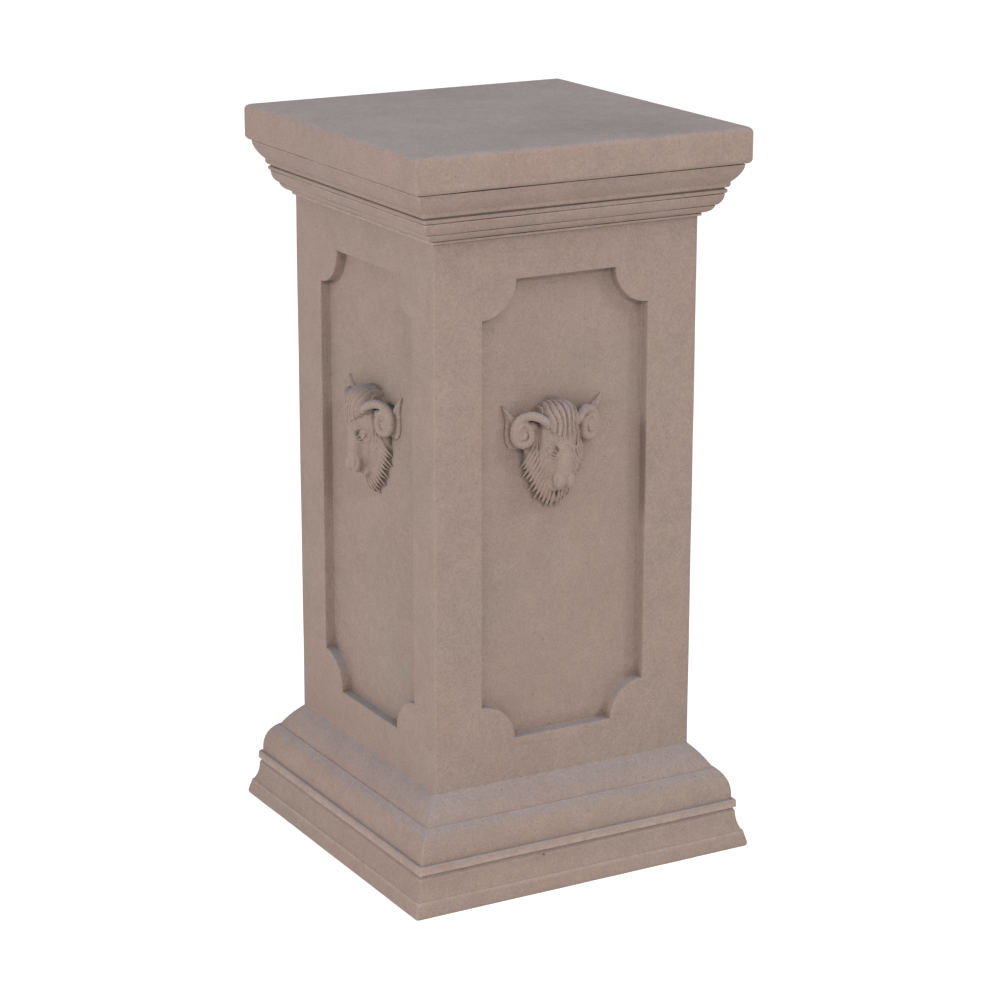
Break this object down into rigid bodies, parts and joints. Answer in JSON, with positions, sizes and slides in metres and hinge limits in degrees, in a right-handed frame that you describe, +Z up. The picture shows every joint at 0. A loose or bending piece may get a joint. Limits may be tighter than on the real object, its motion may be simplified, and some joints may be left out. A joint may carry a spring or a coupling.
{
  "type": "ram head pedestal",
  "caption": "Square cast stone pedestal with moulded base and cap, a flat top slab, and a sunk panel with a ram's head in relief on each side.",
  "frame": {"origin": "middle of the underside, on the ground", "axes": "+Z up, -Y out of the front face, +X to the right seen from the front"},
  "size_m": [0.3946, 0.3946, 0.76],
  "materials": {
    "cast_stone": "matt, pinholed, warm beige with pinkish and greenish patches"
  },
  "bodies": {
    "root": {"pedestal": "cast_stone"}
  },
  "joints": []
}
